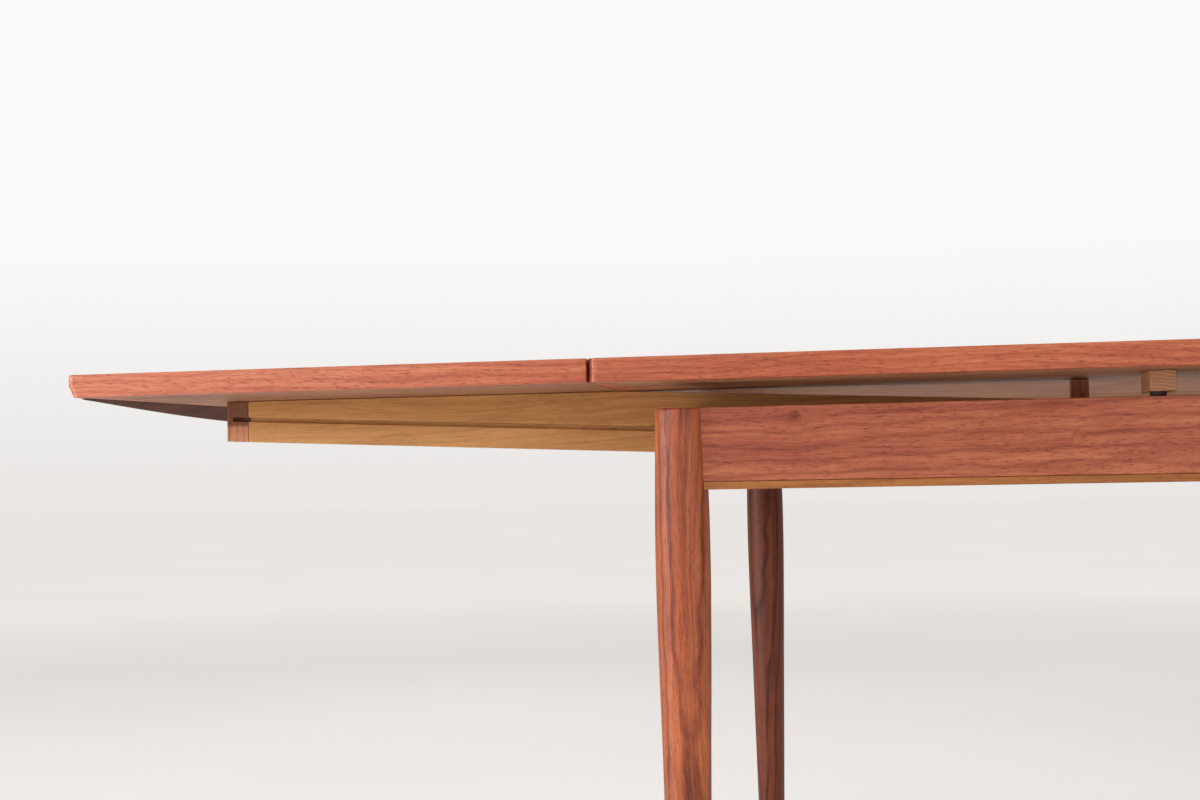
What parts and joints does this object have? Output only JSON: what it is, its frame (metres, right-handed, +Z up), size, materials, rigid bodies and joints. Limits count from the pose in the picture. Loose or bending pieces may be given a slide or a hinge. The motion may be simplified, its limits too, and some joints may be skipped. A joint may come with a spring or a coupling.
{
  "type": "extendable dining table",
  "caption": "Draw-leaf dining table in teak: bowed top, turned legs, one leaf drawn out level with the top, one stowed beneath it on sloping runners.",
  "frame": {"origin": "on the floor under the centre of the table as it stands, with the left leaf drawn out and the right leaf stowed", "axes": "+X along the table towards the end with the stowed leaf, +Y from the front to the back, +Z up"},
  "size_m": [1.803, 0.89, 0.73],
  "materials": {
    "teak_leg": "oiled, satin",
    "teak_apron": "oiled, satin",
    "teak_lip": "oiled, satin",
    "teak_top_edge": "oiled, satin",
    "teak_leaf_edge": "oiled, satin",
    "teak_veneer": "oiled, satin",
    "teak_dark": "oiled, satin",
    "beech_runner": "clear varnish, satin",
    "beech_frame": "sawn, unfinished",
    "beech_block": "sawn end grain, unfinished",
    "glide": "matte"
  },
  "bodies": {
    "base": {"leg_front_left": "teak_leg", "foot_glide_front_left": "glide", "leg_front_right": "teak_leg", "foot_glide_front_right": "glide", "leg_back_left": "teak_leg", "foot_glide_back_left": "glide", "leg_back_right": "teak_leg", "foot_glide_back_right": "glide", "side_apron_front": "teak_apron", "side_apron_lip_front": "teak_lip", "side_apron_back": "teak_apron", "side_apron_lip_back": "teak_lip", "end_apron_left": "teak_apron", "end_apron_lip_left": "teak_lip", "end_apron_right": "teak_apron", "end_apron_lip_right": "teak_lip", "corner_block_front_left": "beech_frame", "corner_block_front_right": "beech_frame", "corner_block_back_left": "beech_frame", "corner_block_back_right": "beech_frame", "guide_bar_front": "beech_frame", "guide_bar_back": "beech_frame", "centre_rail": "beech_frame"},
    "main_top": {"main_top_panel": "teak_veneer", "main_top_edge_front": "teak_top_edge", "main_top_edge_back": "teak_top_edge", "main_top_edge_left": "teak_top_edge", "main_top_edge_right": "teak_top_edge", "spacer_block_front_left": "beech_block", "spacer_block_front_right": "beech_block", "spacer_block_back_left": "beech_block", "spacer_block_back_right": "beech_block", "top_peg_front": "beech_block", "peg_washer_front": "beech_block", "top_peg_back": "beech_block", "peg_washer_back": "beech_block"},
    "left_leaf": {"left_leaf_panel": "teak_veneer", "left_leaf_edge_end": "teak_leaf_edge", "left_leaf_grip": "teak_dark", "left_leaf_edge_front": "teak_leaf_edge", "left_leaf_runner_front": "beech_runner", "left_leaf_runner_cap_front": "teak_dark", "left_leaf_runner_stop_front": "teak_dark", "left_leaf_edge_back": "teak_leaf_edge", "left_leaf_runner_back": "beech_runner", "left_leaf_runner_cap_back": "teak_dark", "left_leaf_runner_stop_back": "teak_dark"},
    "right_leaf": {"right_leaf_panel": "teak_veneer", "right_leaf_edge_end": "teak_leaf_edge", "right_leaf_grip": "teak_dark", "right_leaf_edge_front": "teak_leaf_edge", "right_leaf_runner_front": "beech_runner", "right_leaf_runner_cap_front": "teak_dark", "right_leaf_runner_stop_front": "teak_dark", "right_leaf_edge_back": "teak_leaf_edge", "right_leaf_runner_back": "beech_runner", "right_leaf_runner_cap_back": "teak_dark", "right_leaf_runner_stop_back": "teak_dark"}
  },
  "joints": [
    {"name": "left_leaf_slide", "type": "slide", "parent": "base", "child": "left_leaf", "axis": [-0.999, 0, 0.0447], "range_m": [0, 0.01]},
    {"name": "right_leaf_slide", "type": "slide", "parent": "base", "child": "right_leaf", "axis": [0.999, 0, 0.0447], "range_m": [0, 0.43193]},
    {"name": "top_lift", "type": "slide", "parent": "base", "child": "main_top", "axis": [0, 0, 1], "range_m": [0, 0.0195]}
  ],
  "couplings": [
    {"joint": "top_lift", "follows": "right_leaf_slide", "ratio": 0.044655}
  ]
}
